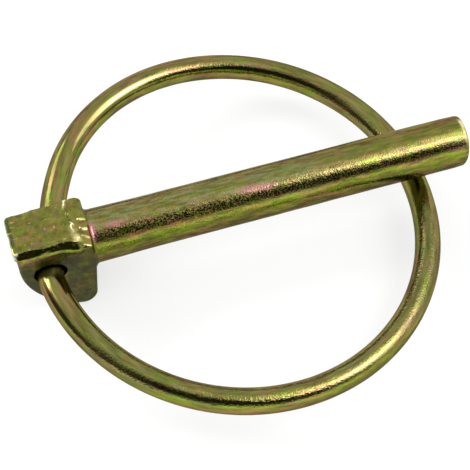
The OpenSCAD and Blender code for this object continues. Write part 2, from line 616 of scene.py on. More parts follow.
    def distance(self, p: Points) -> Values:
        """Signed distance to the whole pin, negative inside.

        Args:
            p: Points in millimetres, one row each.

        Returns:
            Signed distances, negative inside.
        """
        x, y, z = p.T
        body = round_join(self.head(p), self.shank(p), self.root_r)
        skew = math.radians(self.hole_skew)
        across = (x - self.hole_x) * math.cos(skew) - y * math.sin(skew)
        bore = self.hole_r - np.hypot(across, z - self.hole_z)
        return round_cut(body, bore, self.hole_edge)

    def slope(self, p: Points, reach: float = 0.02) -> Points:
        """Gradient of the distance, by differences over a short reach.

        Args:
            p: Points in millimetres, one row each.
            reach: Distance to each side over which the difference is taken.

        Returns:
            One row of three slopes for each point.
        """
        steps = np.eye(3) * reach
        rows = [(self.distance(p + s) - self.distance(p - s)) / (2.0 * reach) for s in steps]
        return np.stack(rows, 1)

    def settle(self, p: Points, rounds: int = 3, longest: float = 0.12) -> Points:
        """Moves points onto the pin's surface.

        Args:
            p: Points near the surface.
            rounds: How often the points are moved.
            longest: Longest way that a point is moved in one round.

        Returns:
            The moved points.
        """
        flattest, tiny = 0.05, 1e-9
        for _ in range(rounds):
            g = self.slope(p)
            size = np.maximum((g * g).sum(1), flattest)
            move = -self.distance(p)[:, None] * g / size[:, None]
            length = np.linalg.norm(move, axis=1, keepdims=True)
            p = p + move * np.minimum(1.0, longest / np.maximum(length, tiny))
        return p

    def convexity(self, p: Points, reach: float = 0.14) -> Values:
        """How sharply the surface turns outwards at each point, per millimetre.

        Args:
            p: Points in millimetres, one row each.
            reach: Distance over which the turn is felt.

        Returns:
            One value for each point.
        """
        total = -6.0 * self.distance(p)
        for s in np.eye(3) * reach:
            total += self.distance(p + s) + self.distance(p - s)
        return total / reach**2

    def head_mesh(self) -> tuple[Points, np.ndarray]:
        """Meshes the head, the flange and the shank's root, cut off square at the join.

        The distance is read at the middle of each block of cells, and then at each cell of the
        blocks that may hold some of the surface.

        Returns:
            The vertices and the quads. The only open edge is the loop at the join.
        """
        margin = 6 * self.cell
        side = self.cell * self.block
        low = np.array([self.back_x - self.lip, -self.flange_half, self.foot_z]) - margin
        high = np.array([self.join_x, self.flange_half, self.top_z]) + margin
        blocks = np.ceil((high - low) / side).astype(int)
        middles = np.indices(blocks).reshape(3, -1).T + 0.5
        field = self.distance(low + middles * side).reshape(blocks)
        field = np.kron(field, np.ones((self.block,) * 3))
        # A block whose middle is further away than this holds none of the surface.
        furthest = 1.25 * side
        fine = np.argwhere(np.abs(field) < furthest)
        field[tuple(fine.T)] = self.distance(low + fine * self.cell)
        grid = openvdb.FloatGrid()
        grid.copyFromArray((field / self.cell).astype(np.float32))
        points, quads = grid.convertToQuads(isovalue=0.0)
        points = low + points.astype(float) * self.cell
        quads = quads[(points[quads][:, :, 0] < self.join_x).all(axis=1)]
        used, flat = np.unique(quads, return_inverse=True)
        return points[used], flat.reshape(quads.shape)

    def shank_mesh(self) -> Points:
        """Lays out the rings of vertices from the join to the middle of the tip.

        Returns:
            An array of rings, each with one row for each column.
        """
        edge_x = self.shank_l - self.tip_edge
        straight_end = edge_x - self.edge_gap
        count = round((straight_end - self.join_x) / self.ring_step)
        straight = np.linspace(self.join_x + self.ring_step, straight_end, count)
        turn = np.radians(np.linspace(0.0, 90.0, self.edge_rows))
        face_r = self.shank_r - self.tip_edge
        face = np.arange(face_r - self.face_step, self.face_step, -self.face_step)
        edge = edge_x + self.tip_edge * np.sin(turn)
        x = np.concatenate([straight, edge, np.full(len(face), self.shank_l)])
        edge_r = self.shank_r - self.tip_edge * (1.0 - np.cos(turn))
        r = np.concatenate([np.full(count, self.shank_r), edge_r, face])[:, None]
        around = np.linspace(-math.pi, math.pi, self.columns, endpoint=False)
        spread = np.broadcast_to(x[:, None], (len(x), self.columns))
        return np.stack([spread, r * np.cos(around), r * np.sin(around)], 2)

    def mesh(self) -> tuple[Points, Faces]:
        """Joins the head's mesh to the shank's.

        Returns:
            The vertices on the pin's surface and the faces, closed.
        """
        corners, quads = self.head_mesh()
        loop = open_loop(quads)
        corners[loop, 0] = self.join_x
        corners = self.settle(corners)
        corners[loop, 0] = self.join_x
        rings = self.shank_mesh()
        shank = np.vstack([rings.reshape(-1, 3), [[self.shank_l, 0.0, 0.0]]])
        number = len(corners) + np.arange(len(shank) - 1).reshape(rings.shape[:2])
        corners = np.vstack([corners, self.settle(shank)])
        faces = [tuple(q) for q in quads.tolist()] + tube_faces(number)
        faces += fan_faces(number[-1], len(corners) - 1)
        return corners, faces + zip_loops(corners, loop, number[0])

    def build(self) -> bpy.types.Object:
        """Builds and dresses the pin.

        Returns:
            The dressed piece.
        """
        corners, faces = self.mesh()
        piece = add_mesh("forged_pin", corners, faces)
        close_up(piece)
        add_fields(piece, self.fields(corners, corner_normals(piece)))
        piece.data.materials.append(PlatedSteel("pin_plating", mottle=1.0).build())
        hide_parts("pin")
        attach(piece, "pin")
        return piece

    def fields(self, p: Points, normals: Points) -> dict[str, Values]:
        """Works out what the plating reads at each vertex.

        Args:
            p: The vertices.
            normals: Outward normals at the vertices.

        Returns:
            The values of each field, by its name.
        """
        x, up, order = p[:, 0], normals[:, 2], film_order(normals)
        forged = smooth(0.6, -0.2, x)
        drawn = 1.0 - forged
        root, onward = smooth(5.0, 1.0, x), smooth(8.0, 28.0, x)
        # Painted shade: the head's sides and its bevel band are darkened where they mirror the
        # shaded floor, and the back rim is darkened to dim its highlight. A spot round the nick is
        # darker too. All of these are also rougher.
        side = forged * smooth(0.32, 0.05, up) * (0.85 + 0.4 * self.noise.at(p, 1.3))
        side = side * (1.0 - 0.35 * zone(p, z=(0.8, 2.6)))
        bevel = forged * bump(0.72, 0.25, up) * zone(p, y=(0.2, -0.5), z=(3.0, 3.3))
        back_rim_shade = zone(p, x=(-8.1, -8.4), y=(-1.5, -0.9), z=(3.2, 3.5))
        dull_and_shade = side + 0.9 * spot(p, self.nick, self.nick_dark_size) + back_rim_shade + 0.3 * bevel
        smear = 0.13 - 0.03 * onward + 0.12 * forged + 0.1 * side + 0.08 * drawn * root
        tip = smooth(self.shank_l - 0.6, self.shank_l - 0.2, x)
        across = 1.0 - 0.5 * forged
        return {
            "place": p,
            "flow": p * np.stack([0.2 + 0.3 * forged, across, across], 1),
            "film": order,
            "stain": 0.85 - 0.2 * forged - 0.25 * drawn * smooth(0.5, 0.4, order),
            "haze": drawn * smooth(0.5, 0.38, order) * (0.1 + 0.9 * smooth(36.0, 20.0, x)),
            "lime": np.zeros(len(p)),
            "rose": self.rosiness(p, up),
            "dull_and_shade": np.clip(dull_and_shade, 0.0, 1.0),
            "wear_and_highlight": self.wear_and_highlight(p),
            "grain": 0.6 - 0.1 * forged - 0.15 * smooth(18.0, 30.0, x),
            "speck": drawn * (0.34 - 0.14 * onward) * (1.0 - 0.5 * root),
            "smear": smear * (1.0 - bevel) + 0.14 * bevel + 0.2 * tip,
        }

    def rosiness(self, p: Points, up: Values) -> Values:
        """How rosy the film is: in blotches on the shank, at the shoulder and beside the bevel.

        Args:
            p: Points in millimetres, one row each.
            up: Z of the outward normal at each point.

        Returns:
            Values from 0 to 1.
        """
        blotches = sum(spot(p, centre, self.rosy_size) for centre in self.rosy)
        shoulder = 1.5 * spot(p, self.shoulder_rosy, self.shoulder_size)
        beside = smooth(0.3, 0.1, up) * zone(p, x=(-3.5, -5.0), y=(0.0, -1.0), z=(2.0, 2.7))
        return np.clip(blotches + shoulder + 0.4 * beside, 0.0, 1.0)

    def wear_and_highlight(self, p: Points) -> Values:
        """How far each place is rubbed down to bare zinc, and how strongly the painted highlight on
        the tip's rim shows, from 0 to 1.

        Args:
            p: Points in millimetres, one row each.

        Returns:
            Values from 0 to 1.
        """
        x, y, _ = p.T
        sharp = smooth(0.4, 2.5, self.convexity(p))
        patchy = smooth(-0.1, 0.4, self.noise.layers(p, self.patchy))
        top = zone(p, z=(3.3, 3.6))
        ridge = top * bump(-1.75, 0.7, x) * (0.25 + 0.75 * smooth(0.2, -0.8, y) + patchy)
        ridge = ridge * smooth(-2.4, -2.1, y)
        corner = zone(p, x=(-8.1, -8.3), y=(-1.2, -1.9), z=(3.4, 3.7))
        lines = sharp * np.clip(ridge + 1.5 * corner, 0.0, 1.0) * (0.2 + patchy)
        step = self.step_x + 0.45 * smooth(-0.4, -1.8, y)
        rubbed = top * bump(step, 0.65, x) * smooth(0.0, -0.9, y) * smooth(-2.6, -2.3, y)
        rubbed = rubbed * (0.35 + 0.5 * patchy + 0.7 * smooth(-1.2, -1.9, y))
        flecks = smooth(0.66, 0.84, self.noise.at(p, self.fleck_size))
        flecks = flecks * top * smooth(-2.4, -2.8, x)
        marked = top * smooth(0.25, 0.8, self.marks(p)) * (1.0 - 0.6 * bump(-0.75, 0.5, y))
        # Painted highlight, partly worn zinc: a pale patch on the tip's rim where the lamp glints.
        tip = zone(p, x=(self.shank_l - 0.4, self.shank_l - 0.2), y=(-2.3, -1.2), z=(0.6, 1.2))
        tip = tip * smooth(1.6, 0.6, y) * (0.6 + 0.4 * patchy)
        return np.clip(lines + 0.8 * rubbed + 0.4 * flecks + 0.8 * marked + tip, 0.0, 1.0)


# --------------------------------------------------------------------------------- spring ring


@dataclass(frozen=True)
class Patch:
    """A soft patch on the ring's film.

    Its middle and its reach are given along the wire, as shares of the wire's length, and
    round the wire, in the film's order of colours.
    """

    along: Pair
    order: Pair
    strength: float = 1.0

    def at(self, share: Values, order: Values) -> Values:
        """How strongly the patch shows at each place."""
        return self.strength * bump(*self.along, share) * bump(*self.order, order)


@dataclass
class SpringRing:
    """The ring of spring wire, whose ends hook into the pin's cross hole.

    All sizes are in millimetres and all angles in degrees. The ring is laid out flat round its
    hinge point and then leans down about the cross hole's axis.
    """

    # The wire, with the rounded edges of its two ends and the gap between them.
    wire_r: float = 1.5
    end_gap: float = 0.3
    end_edge: float = 0.35
    draw_marks: Layers = ((0.010, (5.0, 0.7, 0.7)), (0.006, (1.2, 0.4, 0.4)))

    # The pin's hole that the wire turns in, and the shank that the closed ring clears.
    hinge: Triple = (-4.5, 0.0, -0.75)
    hole_skew: float = 14.0
    head_half: float = 3.0
    shank_r: float = 3.0
    ring_gap: float = 0.6

    # The ring's outline: its circle, the hook at its near end and the two arcs at its far end.
    ring_far: float = 44.2
    ring_offset: float = 1.35
    hook_out: float = 0.45
    hook_r: float = 3.0
    quarter_start: float = 90.0
    quarter_join: float = 28.0
    lead_out: float = 0.6

    # The mesh.
    columns: int = 48
    step: float = 0.19

    # The finish: painted highlights, rosy patches and lime patches.
    # Painted highlights: patches of whiter, smoother film where the lamps are mirrored on the wire.
    painted_highlight: tuple[Patch, ...] = (
        Patch(along=(0.832, 0.05), order=(0.54, 0.1)),
        Patch(along=(0.325, 0.05), order=(0.42, 0.1), strength=0.4),
    )
    rosy: tuple[Patch, ...] = (
        Patch(along=(0.2, 0.15), order=(0.88, 0.08), strength=0.6),
        Patch(along=(0.74, 0.14), order=(0.88, 0.08), strength=0.6),
        Patch(along=(0.775, 0.035), order=(0.54, 0.12), strength=0.9),
        Patch(along=(0.88, 0.05), order=(0.35, 0.12), strength=0.4),
    )
    lime: tuple[Patch, ...] = (
        Patch(along=(0.2, 0.15), order=(0.69, 0.09)),
        Patch(along=(0.74, 0.14), order=(0.69, 0.09)),
        Patch(along=(0.2, 0.15), order=(0.36, 0.06), strength=0.5),
    )
    seed: int = 23

    def __post_init__(self) -> None:
        """Makes the noise that the drawn wire reads."""
        self.noise = Noise(self.seed)

    def hole_line(self) -> tuple[Values, Values, float]:
        """Finds the cross hole's line, flat in the ring's plane.

        Returns:
            The direction along the hole, the direction square to it, and half of its length.
        """
        skew = math.radians(self.hole_skew)
        along = np.array([math.sin(skew), math.cos(skew)])
        return along, np.array([along[1], -along[0]]), self.head_half / math.cos(skew)

    def circle(self) -> tuple[Values, float]:
        """Fits the ring's circle through its far point and a point outside the hole's near end.

        Returns:
            The circle's centre and radius.
        """
        along, _, half_hole = self.hole_line()
        corner = -along * (half_hole + self.hook_out)
        far, off = self.ring_far, self.ring_offset
        square = far**2 + off**2 - corner[0] ** 2 - (corner[1] + off) ** 2
        centre = np.array([square / (2.0 * (far - corner[0])), -off])
        return centre, float(np.linalg.norm(corner - centre))

    def hooked(self, centre: Values, radius: float) -> list[Points]:
        """Lays the wire from its near end through the hook and round the circle.

        Args:
            centre: Centre of the ring's circle.
            radius: Radius of the ring's circle.

        Returns:
            The points of the near end's straight, of the hook and of the circle.
        """
        along, aside, _ = self.hole_line()
        reach = math.sqrt((radius - self.hook_r) ** 2 - (centre @ aside - self.hook_r) ** 2)
        hook_at = centre @ along - reach
        hook_centre = along * hook_at + aside * self.hook_r
        hook_end = math.atan2(*(hook_centre - centre)[::-1])
        hook_start = -math.pi - math.radians(self.hole_skew)
        return [
            self.straight(-along * self.end_gap / 2.0, along * hook_at),
            self.arc(hook_centre, self.hook_r, hook_start, hook_end),
            self.arc(centre, radius, hook_end, math.radians(self.quarter_start)),
        ]

    def led_in(self, centre: Values, radius: float) -> list[Points]:
        """Lays the wire from the circle through two arcs into the hole's far end.

        Args:
            centre: Centre of the ring's circle.
            radius: Radius of the ring's circle.

        Returns:
            The points of the two arcs and of the far end's straight.
        """
        along, aside, half_hole = self.hole_line()
        angles = (self.hole_skew, self.quarter_start, self.quarter_join)
        skew, start, join = (math.radians(angle) for angle in angles)
        outward = np.array([math.cos(start), math.sin(start)])
        mouth = along * (half_hole + self.lead_out)
        span = centre + radius * outward - mouth
        lead_arc, turn_arc = arc_span(skew, join), arc_span(join, math.pi - start)
        whole = cross(lead_arc, turn_arc)
        lead_r, turn_r = cross(span, turn_arc) / whole, cross(lead_arc, span) / whole
        return [
            self.arc(centre + (radius - turn_r) * outward, turn_r, start, math.pi - join),
            self.arc(mouth + aside * lead_r, lead_r, math.pi - join, math.pi - skew),
            self.straight(mouth, along * self.end_gap / 2.0),
        ]

    def route(self) -> tuple[Points, Points, Values]:
        """Follows the middle of the wire from its near end to its far end.

        Returns:
            Points on the wire's middle and headings, both flat in the ring's plane, and the
            distance travelled at each point.
        """
        parts = self.hooked(*self.circle()) + self.led_in(*self.circle())
        points = np.vstack([part[:-1] for part in parts[:-1]] + [parts[-1]])
        gaps = np.linalg.norm(np.diff(points, axis=0), axis=1)
        travelled = np.concatenate([[0.0], np.cumsum(gaps)])
        heading = np.gradient(points, travelled, axis=0)
        heading /= np.linalg.norm(heading, axis=1, keepdims=True)
        return points, heading, travelled

    def straight(self, start: Values, end: Values) -> Points:
        """Evenly spaced points from start to end."""
        count = max(2, round(float(np.linalg.norm(end - start)) / self.step) + 1)
        return start + np.linspace(0.0, 1.0, count)[:, None] * (end - start)

    def arc(self, centre: Values, radius: float, start: float, end: float) -> Points:
        """Evenly spaced points round a centre.

        Args:
            centre: Centre of the arc.
            radius: Radius of the arc.
            start: Angle of its first point, in radians.
            end: Angle of its last point, in radians.

        Returns:
            The points, flat in the ring's plane.
        """
        count = max(4, round(abs(end - start) * radius / self.step) + 1)
        turn = np.linspace(start, end, count)
        return centre + radius * np.stack([np.cos(turn), np.sin(turn)], 1)

    def tilt(self) -> Quaternion:
        """Works out how the closed ring leans about the cross hole's axis, to clear the shank.

        Returns:
            The turn from the flat ring to the closed one.
        """
        skew = math.radians(self.hole_skew)
        drop = self.shank_r + self.ring_gap + self.wire_r + self.hinge[2]
        lean = math.asin(drop / (self.ring_far * math.cos(skew)))
        return Quaternion(Vector((math.sin(skew), math.cos(skew), 0.0)), lean)

    def wire(self) -> tuple[Points, Faces, Points]:
        """Sweeps the wire's round section along its route.

        Returns:
            The vertices, the faces, and each vertex's place on the wire as it would lie if it
            were straightened along X.
        """
        points, heading, travelled = self.route()
        around = np.linspace(0.0, 2.0 * math.pi, self.columns, endpoint=False)
        section = np.stack([np.zeros(self.columns), np.cos(around), np.sin(around)], 1)
        straight = travelled[:, None, None] * np.array([1.0, 0.0, 0.0]) + self.wire_r * section
        straight = straight.reshape(-1, 3)
        swell = self.wire_r + self.noise.layers(straight, self.draw_marks)
        swell = swell.reshape(len(travelled), self.columns)
        past = np.maximum(self.end_edge - np.minimum(travelled, travelled[-1] - travelled), 0.0)
        swell = swell - (self.end_edge - np.sqrt(self.end_edge**2 - past**2))[:, None]
        side = np.stack([heading[:, 1], -heading[:, 0]], 1)
        flat = points[:, None] + swell[:, :, None] * np.cos(around)[None, :, None] * side[:, None]
        tube = np.dstack([flat, swell * np.sin(around)]).reshape(-1, 3)
        caps = np.array([[*points[0], 0.0], [*points[-1], 0.0]])
        turned = np.array(self.tilt().to_matrix())
        corners = np.vstack([tube, caps]) @ turned.T + np.array(self.hinge)
        number = np.arange(len(tube)).reshape(len(travelled), self.columns)
        faces = tube_faces(number)
        faces += fan_faces(number[0], len(tube)) + fan_faces(number[-1], len(tube) + 1)
        place = np.vstack([straight, [[0.0, 0.0, 0.0], [travelled[-1], 0.0, 0.0]]])
        return corners, faces, place

    def build(self) -> bpy.types.Object:
        """Builds and dresses the ring.

        Returns:
            The dressed piece.
        """
        corners, faces, place = self.wire()
        piece = add_mesh("spring_ring", corners, faces)
        close_up(piece)
        add_fields(piece, self.fields(place, film_order(corner_normals(piece))))
        plating = PlatedSteel("ring_plating", mottle=0.8, coat=0.26, blush=(164, 104, 78))
        piece.data.materials.append(plating.build())
        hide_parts("ring")
        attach(piece, "ring")
        return piece

    def fields(self, place: Points, order: Values) -> dict[str, Values]:
        """Works out what the plating reads at each vertex.

        Args:
            place: Each vertex's place on the straightened wire.
            order: Each vertex's place in the film's order of colours.

        Returns:
            The values of each field, by its name.
        """
        along = place[:, 0]
        length = along.max()
        share = along / length
        outlets = bump(3.4, 1.2, along) + bump(3.4, 1.2, length - along)
        hook = bump(6.0, 4.0, along)
        # Painted shade, partly a duller film: this stretch of the right arc is darkened to dim its
        # highlight, and it is rougher.
        hazed = bump(0.43, 0.08, share)
        painted_highlight = self.patches(self.painted_highlight, share, order)
        rosy = self.patches(self.rosy, share, order)
        rosy = rosy + 0.4 * bump(0.35, 0.15, order) * hook
        rosy = rosy + 0.2 * smooth(0.5, 0.4, order) * bump(0.76, 0.035, share)
        grain = 1.0 - 0.8 * bump(0.88, 0.14, share) - 0.25 * smooth(0.4, 0.5, share)
        speck = 0.15 - 0.12 * smooth(0.3, 0.7, share)
        return {
            "place": place,
            "flow": place * np.array([0.15, 1.0, 1.0]),
            "film": order - 0.09 * bump(0.8, 0.1, share),
            "stain": np.full(len(place), 0.75),
            "haze": smooth(0.5, 0.38, order) * (0.4 - 0.2 * smooth(0.6, 0.7, share)),
            "lime": self.patches(self.lime, share, order),
            "rose": rosy,
            "dull_and_shade": 0.3 * hazed,
            "wear_and_highlight": painted_highlight,
            "grain": grain * (1.0 - outlets) * smooth(7.0, 15.0, along),
            "speck": speck * smooth(7.0, 14.0, along),
            "smear": 0.09 + 0.26 * outlets + 0.05 * hazed - 0.16 * painted_highlight,
        }

    @staticmethod
    def patches(patches: tuple[Patch, ...], share: Values, order: Values) -> Values:
        """Adds up patches on the wire's film."""
        return sum(patch.at(share, order) for patch in patches)


def cross(a: Values, b: Values) -> float:
    """Turn from one flat direction to another, as the area between them."""
    return float(a[0] * b[1] - a[1] * b[0])


def arc_span(start: float, end: float) -> Values:
    """Way across an arc of radius 1 between two slopes in radians."""
    return np.array([math.cos(start) - math.cos(end), math.sin(end) - math.sin(start)])


# ------------------------------------------------------------------------------------ finishes


class NodeTree:
    """Adds nodes to a shader tree and links what feeds them."""

    def __init__(self, tree: bpy.types.NodeTree) -> None:
        """Takes the tree and empties it."""
        self.tree = tree
        tree.nodes.clear()

    def add(self, kind: str, feeds: dict | None = None, **settings: object) -> bpy.types.Node:
        """Adds one node.

        Args:
            kind: The node's type name, without a leading ShaderNode.
            feeds: Sockets or plain values by the name or number of the input that takes them.
            settings: Properties of the node.

        Returns:
            The node.
        """
        node = self.tree.nodes.new(kind if kind.startswith("Node") else "ShaderNode" + kind)
        for name, value in settings.items():
            setattr(node, name, value)
        for key, value in (feeds or {}).items():
            if isinstance(value, Socket):
                self.tree.links.new(value, node.inputs[key])
            else:
                node.inputs[key].default_value = value
        return node

    def math(self, operation: str, *values: object) -> Socket:
        """Adds a Math node and returns what it puts out."""
        return self.add("Math", dict(enumerate(values)), operation=operation).outputs[0]

    def field(self, name: str, output: str) -> Socket:
        """Reads a field that the piece keeps at its vertices."""
        return self.add("Attribute", attribute_name=name).outputs[output]

    def noise(
        self, place: Socket, scale: float, detail: float, shift: float = 0.0
    ) -> Socket:
        """Adds soft noise.

        Args:
            place: Place on the surface.
            scale: Cells for each millimetre.
            detail: Layers of finer noise.
            shift: Distance by which the noise is moved, so that two of them differ.

        Returns:
            The noise, between 0 and 1.
        """
        moved = self.add("VectorMath", {0: place, 1: (shift, shift, shift)}, operation="ADD")
        feeds = {"Vector": moved.outputs[0], "Scale": scale, "Detail": detail, "Roughness": 0.55}
        return self.add("TexNoise", feeds).outputs["Fac"]

    def span(
        self, value: Socket, low: float, high: float, start: float = 0.0, end: float = 1.0
    ) -> Socket:
        """Turns the range from low to high into the range from start to end."""
        return self.add("MapRange", {"Value": value, 1: low, 2: high, 3: start, 4: end}).outputs[0]

    def mix(
        self, share: Socket, under: Socket, over: tuple
    ) -> Socket:
        """Lays one colour over another.

        Args:
            share: How much of the upper colour shows.
            under: The lower colour.
            over: The upper colour.

        Returns:
            The mixed colour.
        """
        feeds = {"Factor": share, "A": under, "B": over}
        node = self.add("Mix", data_type="RGBA")
        for key, value in feeds.items():
            kind = "VALUE" if key == "Factor" else "RGBA"
            socket = next(s for s in node.inputs if s.name == key and s.type == kind)
            if isinstance(value, Socket):
                self.tree.links.new(value, socket)
            else:
                socket.default_value = value
        return next(s for s in node.outputs if s.type == "RGBA")

    def ramp(self, fac: Socket, stops: tuple) -> Socket:
        """Adds a colour ramp with the given places and colours.

        Args:
            fac: Place on the ramp.
            stops: The places and the linear colours at them.

        Returns:
            The colour.
        """
        node = self.add("ValToRGB", {"Fac": fac})
        elements = node.color_ramp.elements
        while len(elements) < len(stops):
            elements.new(1.0)
        for element, (place, colour) in zip(elements, stops):
            element.position = place
            element.color = colour
        return node.outputs["Color"]

    def glow(self, strength: float) -> Socket:
        """Adds a white emission."""
        return self.add("Emission", {"Color": WHITE, "Strength": strength}).outputs[0]

    def end(self, share: Socket | float, under: Socket, over: Socket) -> None:
        """Ends a material with a mix of two shaders."""
        mix = self.add("MixShader", {0: share, 1: under, 2: over})
        self.add("OutputMaterial", {"Surface": mix.outputs[0]})


def new_material(name: str) -> tuple[bpy.types.Material, NodeTree]:
    """Makes a material with an empty shader tree.

    Args:
        name: The material's name.

    Returns:
        The material and its tree.
    """
    material = bpy.data.materials.new(name)
    material.use_nodes = True
    return material, NodeTree(material.node_tree)


# The film's tints by its order, with painted light in them: darker at the lower end as painted
# shade, lighter at 0.41 and 0.50 as painted highlight.
FILM_AND_SHADING_COLOURS: tuple[tuple[float, Colour], ...] = (
    (0.00, (150, 138, 88)),
    (0.06, (96, 76, 38)),
    (0.11, (126, 108, 62)),
    (0.16, (98, 106, 34)),
    (0.26, (112, 113, 44)),
    (0.34, (118, 114, 46)),
    (0.41, (138, 126, 70)),
    (0.50, (136, 123, 72)),
    (0.58, (106, 110, 58)),
    (0.64, (106, 108, 54)),
    (0.69, (126, 106, 48)),
    (0.74, (140, 130, 48)),
    (0.79, (116, 142, 20)),
    (0.86, (104, 112, 28)),
    (0.92, (110, 98, 40)),
    (1.00, (84, 80, 36)),
)


@dataclass(frozen=True)
class Stain:
    """A stain of one colour that lies on the film in patches.

    The patches show where a noise passes the span, as strongly as the share and a field of the
    piece allow. The scale is in cells for each millimetre, and the shift tells noises apart.
    """

    colour: Colour
    scale: float
    shift: float
    span: Pair
    share: float
    field: str = "Stain"
    detail: float = 4.0


FILM_STAINS = (
    Stain((112, 150, 12), scale=2.0, shift=91.0, span=(0.52, 0.60), share=0.6),
    Stain((172, 112, 84), scale=1.8, shift=31.0, span=(0.55, 0.62), share=0.55),
    Stain((84, 58, 28), scale=2.8, shift=53.0, span=(0.54, 0.62), share=0.6),
    Stain((150, 92, 108), scale=1.5, shift=23.0, span=(0.62, 0.68), share=0.6),
    Stain((134, 142, 104), scale=3.4, shift=11.0, span=(0.46, 0.58), share=0.6, field="Haze"),
)
FRESH_STAIN = Stain(
    (118, 146, 18), scale=1.7, shift=67.0, span=(0.28, 0.5), share=1.0, field="Lime"
)


class Tone(Enum):
    """Further colours on the film, with the colours of painted shade and painted highlight, as
    display colours from 0 to 255.
    """

    # Painted shade, and the colour of dull film.
    DULL_AND_SHADE = (52, 62, 36)
    PALE_FLECK = (168, 150, 84)
    DARK_FLECK = (72, 58, 26)
    # Worn zinc, also the colour of painted highlights.
    WORN_AND_HIGHLIGHT = (222, 208, 142)
    # Bare zinc, also the white core of painted highlights.
    BARE_ZINC_AND_HIGHLIGHT = (228, 224, 208)


